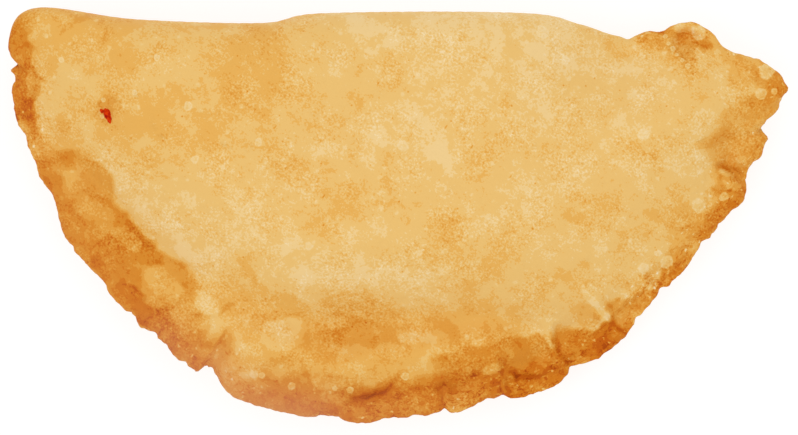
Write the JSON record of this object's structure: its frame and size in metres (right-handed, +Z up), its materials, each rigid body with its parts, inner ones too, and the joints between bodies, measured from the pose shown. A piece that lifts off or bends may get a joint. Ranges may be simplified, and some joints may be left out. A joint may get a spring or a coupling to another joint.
{
  "type": "empanada",
  "caption": "Half-moon fried empanada with a puffed golden face, a rounded fold along one side and a browned, finger-pressed rim along the other.",
  "frame": {"origin": "on the resting surface, below the middle of the part's box", "axes": "+X along the folded edge towards the ear, +Y from the pressed rim towards the folded edge, +Z up out of the puffed face"},
  "size_m": [0.149, 0.08, 0.0279],
  "materials": {
    "pastry": "fried golden crust, satin with a little oil, blistered, browned at the rim"
  },
  "bodies": {
    "root": {"empanada": "pastry"}
  },
  "joints": []
}
